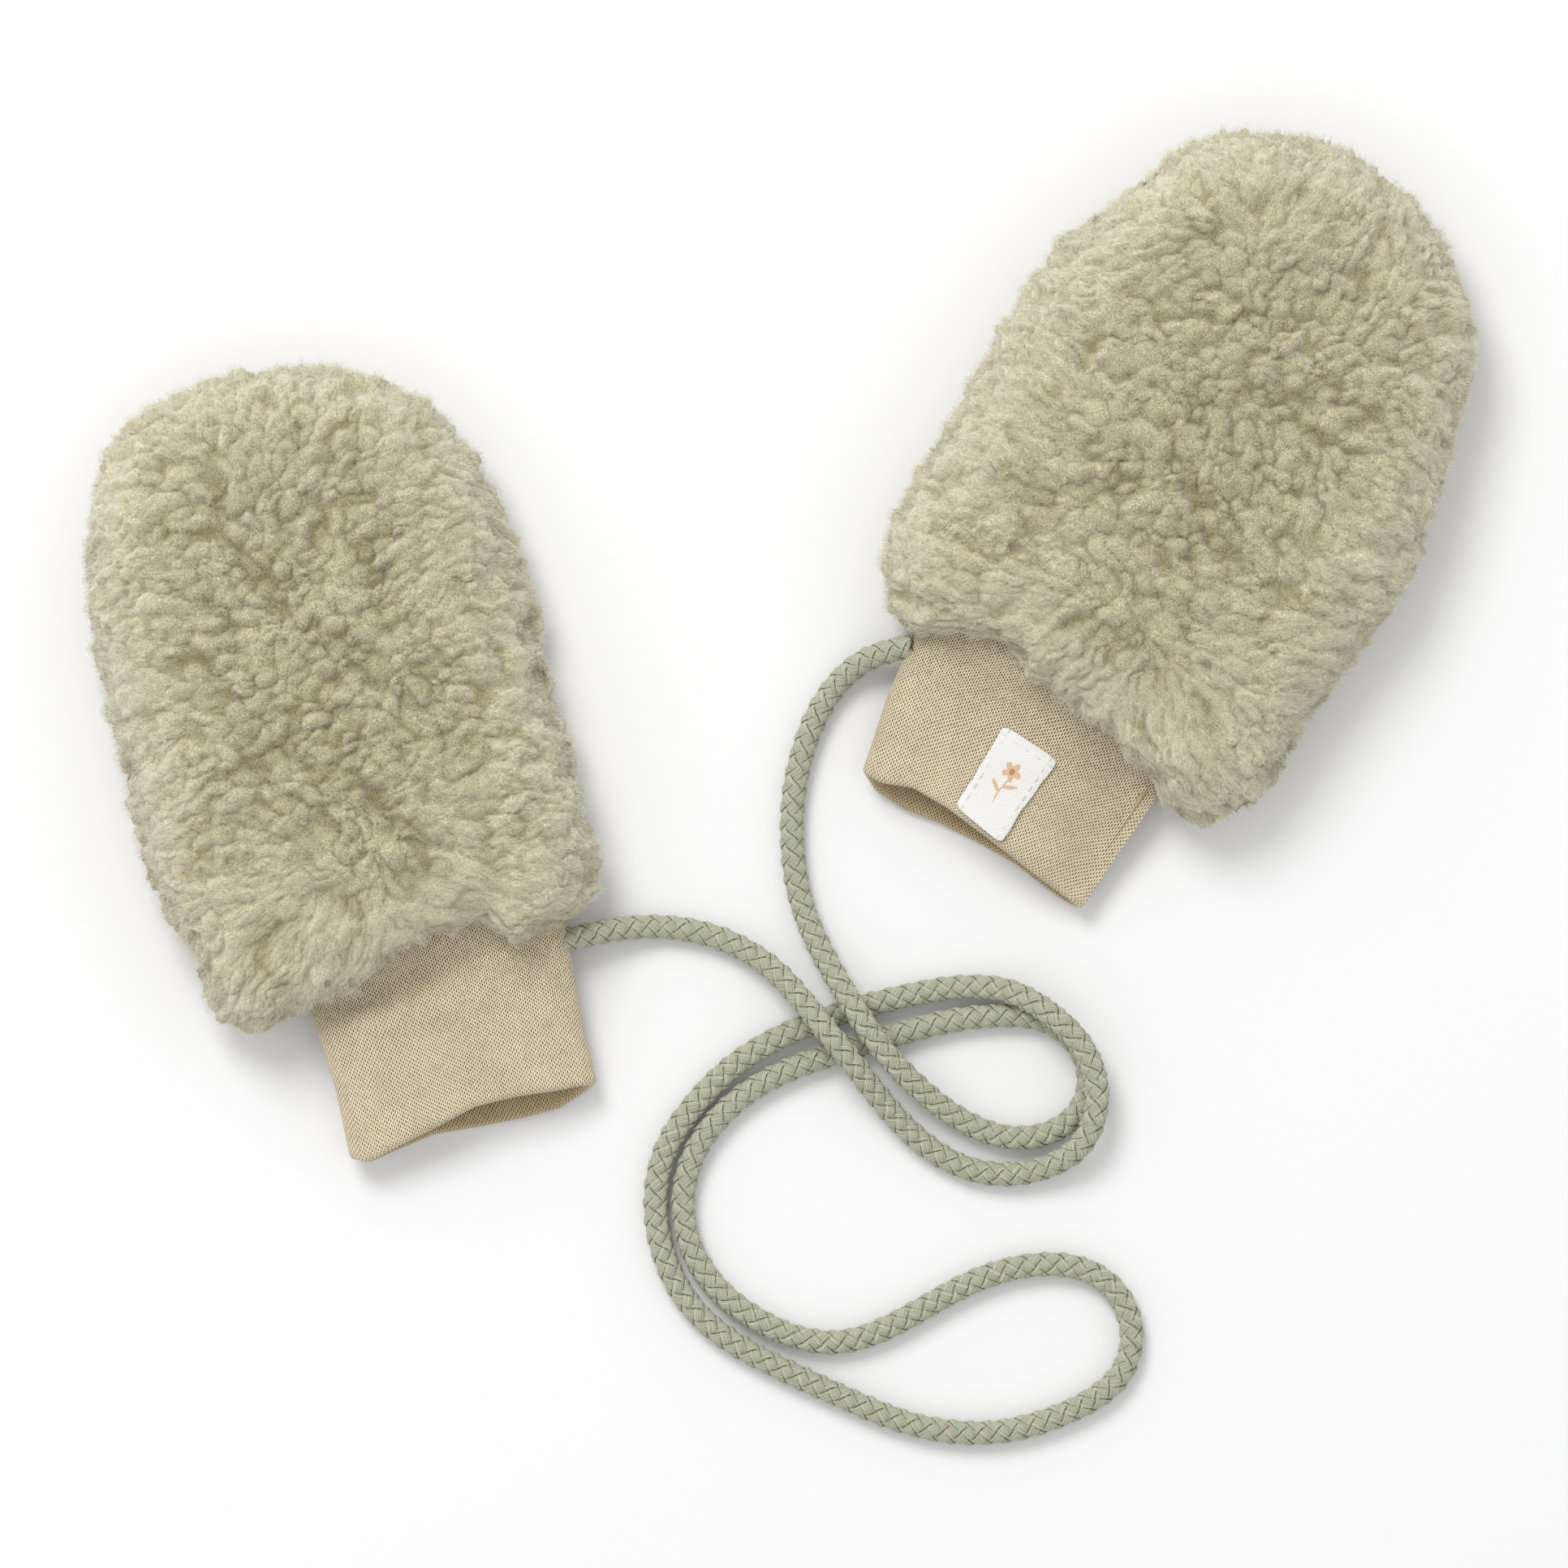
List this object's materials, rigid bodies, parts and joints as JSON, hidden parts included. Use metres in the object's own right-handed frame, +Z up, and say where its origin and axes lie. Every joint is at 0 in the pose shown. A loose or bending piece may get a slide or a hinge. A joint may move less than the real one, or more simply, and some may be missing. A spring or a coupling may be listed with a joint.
{
  "type": "pair of baby mittens",
  "caption": "Pair of thumbless baby mittens in deep teddy pile with folded rib cuffs, laid flat and joined by one long braided neck cord.",
  "frame": {"origin": "centre of the two mittens' own box, on the table they lie on", "axes": "+X from the left mitten to the right one, +Y towards the fingertips as the pair is laid out, +Z up from the table"},
  "size_m": [0.2652, 0.2498, 0.0259],
  "materials": {
    "teddy_pile": "matt curly pile",
    "rib_knit": "matt fine knit",
    "label_tape": "matt woven tape",
    "cord_cotton": "matt braided cotton"
  },
  "bodies": {
    "root": {"left_top_panel": "teddy_pile", "left_bottom_panel": "teddy_pile", "left_cuff": "rib_knit", "right_top_panel": "teddy_pile", "right_bottom_panel": "teddy_pile", "right_cuff": "rib_knit", "right_label": "label_tape", "cord": "cord_cotton"}
  },
  "joints": []
}
